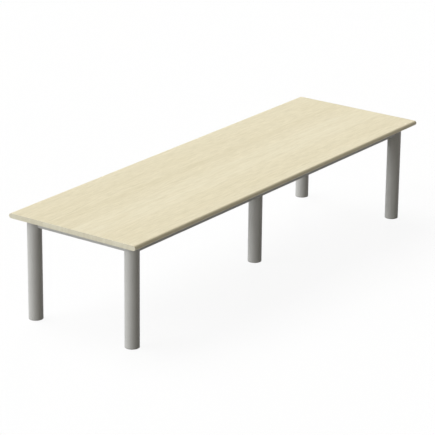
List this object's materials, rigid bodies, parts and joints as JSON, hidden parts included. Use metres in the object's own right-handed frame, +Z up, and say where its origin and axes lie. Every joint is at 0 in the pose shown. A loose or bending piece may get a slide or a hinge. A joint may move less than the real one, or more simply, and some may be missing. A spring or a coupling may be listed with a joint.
{
  "type": "canteen table",
  "caption": "Long canteen table: maple-look laminated top with half-round long edges on round steel legs, with a rail frame under the top and screw levelling feet.",
  "frame": {"origin": "on the floor under the middle of the top", "axes": "+X along the table to the right end, +Y across it to the back, +Z up"},
  "size_m": [3.25, 1, 0.72],
  "materials": {
    "maple_decor": "satin laminate with a pale maple decor, grain along the table",
    "chipboard": "raw chipboard",
    "backing": "plain matt backing laminate",
    "edge_band": "satin edge band in the decor's colour",
    "frame_paint": "silver-grey powder coat, fine texture",
    "foot_plastic": "grey moulded plastic",
    "pad_plastic": "dark grey moulded plastic",
    "zinc_steel": "bright zinc-plated steel"
  },
  "bodies": {
    "table": {"top_core": "chipboard", "top_laminate": "maple_decor", "backing_sheet": "backing", "end_band_left": "edge_band", "end_band_right": "edge_band", "rail_front": "frame_paint", "rail_back": "frame_paint", "rail_left": "frame_paint", "rail_right": "frame_paint", "spigot_front_left_long": "frame_paint", "spigot_front_left_end": "frame_paint", "leg_head_front_left": "frame_paint", "spigot_back_left_long": "frame_paint", "spigot_back_left_end": "frame_paint", "leg_head_back_left": "frame_paint", "spigot_front_right_long": "frame_paint", "spigot_front_right_end": "frame_paint", "leg_head_front_right": "frame_paint", "spigot_back_right_long": "frame_paint", "spigot_back_right_end": "frame_paint", "leg_head_back_right": "frame_paint", "middle_plate": "frame_paint", "leg_front_left": "frame_paint", "end_plug_front_left": "foot_plastic", "thread_insert_front_left": "zinc_steel", "leg_back_left": "frame_paint", "end_plug_back_left": "foot_plastic", "thread_insert_back_left": "zinc_steel", "leg_front_right": "frame_paint", "end_plug_front_right": "foot_plastic", "thread_insert_front_right": "zinc_steel", "leg_back_right": "frame_paint", "end_plug_back_right": "foot_plastic", "thread_insert_back_right": "zinc_steel", "leg_middle": "frame_paint", "end_plug_middle": "foot_plastic", "thread_insert_middle": "zinc_steel", "joint_screws": "zinc_steel", "joint_nuts": "zinc_steel", "top_screws": "zinc_steel", "plate_screws": "zinc_steel"},
    "pad_front_left": {"foot_pad_front_left": "pad_plastic"},
    "stud_front_left": {"foot_stud_front_left": "zinc_steel"},
    "pad_back_left": {"foot_pad_back_left": "pad_plastic"},
    "stud_back_left": {"foot_stud_back_left": "zinc_steel"},
    "pad_front_right": {"foot_pad_front_right": "pad_plastic"},
    "stud_front_right": {"foot_stud_front_right": "zinc_steel"},
    "pad_back_right": {"foot_pad_back_right": "pad_plastic"},
    "stud_back_right": {"foot_stud_back_right": "zinc_steel"},
    "pad_middle": {"foot_pad_middle": "pad_plastic"},
    "stud_middle": {"foot_stud_middle": "zinc_steel"}
  },
  "joints": [
    {"name": "foot_travel_front_left", "type": "slide", "parent": "table", "child": "pad_front_left", "axis": [0, 0, -1], "range_m": [0, 0.012]},
    {"name": "stud_turn_front_left", "type": "hinge", "parent": "pad_front_left", "child": "stud_front_left", "pos_m": [-1.513, -0.388, 0], "axis": [0, 0, -1], "range_deg": [0, 2880]},
    {"name": "foot_travel_back_left", "type": "slide", "parent": "table", "child": "pad_back_left", "axis": [0, 0, -1], "range_m": [0, 0.012]},
    {"name": "stud_turn_back_left", "type": "hinge", "parent": "pad_back_left", "child": "stud_back_left", "pos_m": [-1.513, 0.388, 0], "axis": [0, 0, -1], "range_deg": [0, 2880]},
    {"name": "foot_travel_front_right", "type": "slide", "parent": "table", "child": "pad_front_right", "axis": [0, 0, -1], "range_m": [0, 0.012]},
    {"name": "stud_turn_front_right", "type": "hinge", "parent": "pad_front_right", "child": "stud_front_right", "pos_m": [1.513, -0.388, 0], "axis": [0, 0, -1], "range_deg": [0, 2880]},
    {"name": "foot_travel_back_right", "type": "slide", "parent": "table", "child": "pad_back_right", "axis": [0, 0, -1], "range_m": [0, 0.012]},
    {"name": "stud_turn_back_right", "type": "hinge", "parent": "pad_back_right", "child": "stud_back_right", "pos_m": [1.513, 0.388, 0], "axis": [0, 0, -1], "range_deg": [0, 2880]},
    {"name": "foot_travel_middle", "type": "slide", "parent": "table", "child": "pad_middle", "axis": [0, 0, -1], "range_m": [0, 0.012]},
    {"name": "stud_turn_middle", "type": "hinge", "parent": "pad_middle", "child": "stud_middle", "pos_m": [0.184, -0.119, 0], "axis": [0, 0, -1], "range_deg": [0, 2880]}
  ],
  "couplings": [
    {"joint": "stud_turn_front_left", "follows": "foot_travel_front_left", "rad_per_m": 4188.8},
    {"joint": "stud_turn_back_left", "follows": "foot_travel_back_left", "rad_per_m": 4188.8},
    {"joint": "stud_turn_front_right", "follows": "foot_travel_front_right", "rad_per_m": 4188.8},
    {"joint": "stud_turn_back_right", "follows": "foot_travel_back_right", "rad_per_m": 4188.8},
    {"joint": "stud_turn_middle", "follows": "foot_travel_middle", "rad_per_m": 4188.8}
  ]
}
